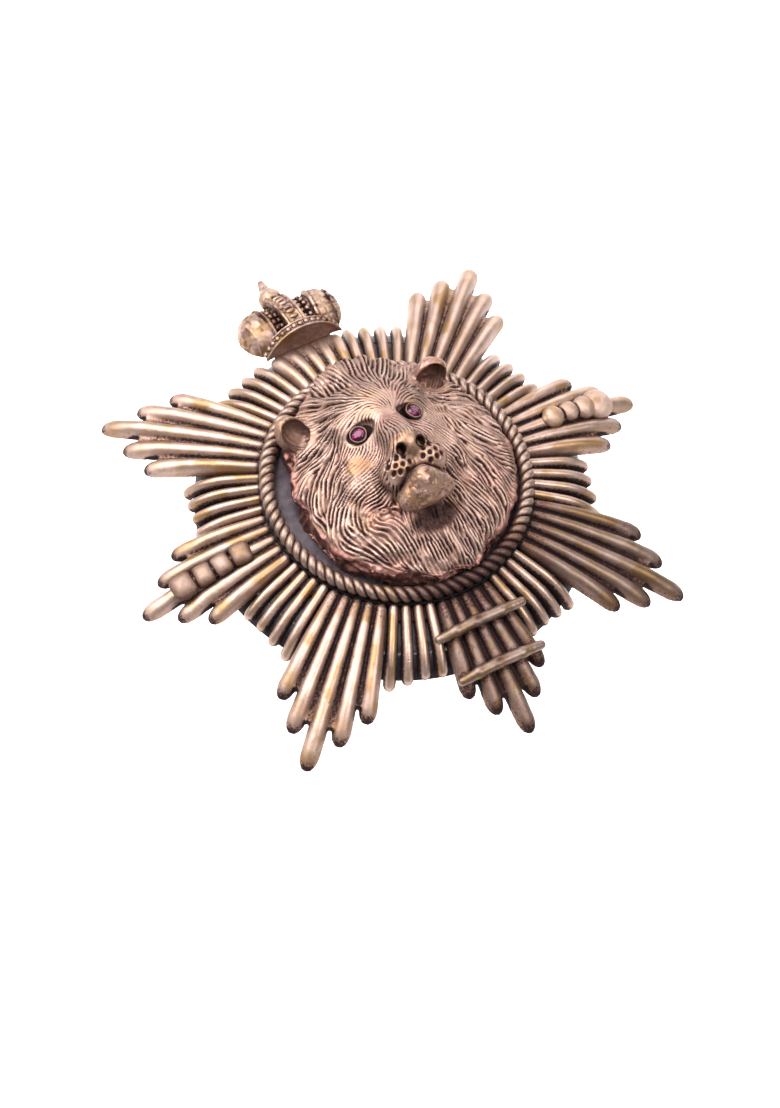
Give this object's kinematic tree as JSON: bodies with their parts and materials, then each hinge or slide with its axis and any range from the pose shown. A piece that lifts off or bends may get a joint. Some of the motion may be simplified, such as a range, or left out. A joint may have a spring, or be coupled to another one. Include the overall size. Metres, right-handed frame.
{
  "type": "cap badge",
  "caption": "Star-shaped cast metal cap badge with ray plumes, a rope ring, a domed lion head with stone eyes and a crown, held on by a brooch pin with a turning safety catch.",
  "frame": {"origin": "centre of the star, in the plane of the four long plume tips on which the badge lies", "axes": "+Z out of the badge's face, +Y towards the crown, +X towards the plume with round beads"},
  "size_m": [0.0646, 0.0641, 0.0194],
  "materials": {
    "cast_bronze": "cast, antiqued rose bronze, polished on the high spots",
    "blackened_brass": "blackened, satin",
    "red_glass": "polished cabochon",
    "fixing_brass": "turned, tarnished",
    "pin_steel": "drawn wire, satin"
  },
  "bodies": {
    "badge": {"backing_plate": "blackened_brass", "plume_top": "cast_bronze", "plume_upper_right": "cast_bronze", "plume_right": "cast_bronze", "plume_lower_right": "cast_bronze", "plume_bottom": "cast_bronze", "plume_lower_left": "cast_bronze", "plume_left": "cast_bronze", "plume_upper_left": "cast_bronze", "short_rays_1": "cast_bronze", "short_rays_2": "cast_bronze", "short_rays_3": "cast_bronze", "short_rays_4": "cast_bronze", "short_rays_5": "cast_bronze", "short_rays_6": "cast_bronze", "short_rays_7": "cast_bronze", "short_rays_8": "cast_bronze", "centre_dish": "blackened_brass", "rope_ring": "cast_bronze", "lion_head": "cast_bronze", "eye_bezel_left": "cast_bronze", "eye_bezel_right": "cast_bronze", "eye_stone_left": "red_glass", "eye_stone_right": "red_glass", "centre_stud": "fixing_brass", "stud_washer": "fixing_brass", "stud_nut": "fixing_brass", "crown": "cast_bronze", "crown_rivets": "fixing_brass", "cushion_bead_row": "cast_bronze", "round_bead_row": "cast_bronze", "inner_cross_bar": "cast_bronze", "outer_cross_bar": "cast_bronze", "pin_hinge_base": "fixing_brass", "hinge_rivet": "fixing_brass", "catch_base": "fixing_brass"},
    "pin": {"pin_stem": "pin_steel"},
    "lock": {"catch_rotor": "fixing_brass"}
  },
  "joints": [
    {"name": "pin_swing", "type": "hinge", "parent": "badge", "child": "pin", "pos_m": [0.0125, 0.008, 0.0026], "axis": [0, -1, 0], "range_deg": [0, 100]},
    {"name": "catch_turn", "type": "hinge", "parent": "badge", "child": "lock", "pos_m": [-0.0122, 0.008, 0.0026], "axis": [1, 0, 0], "range_deg": [0, 150]}
  ]
}
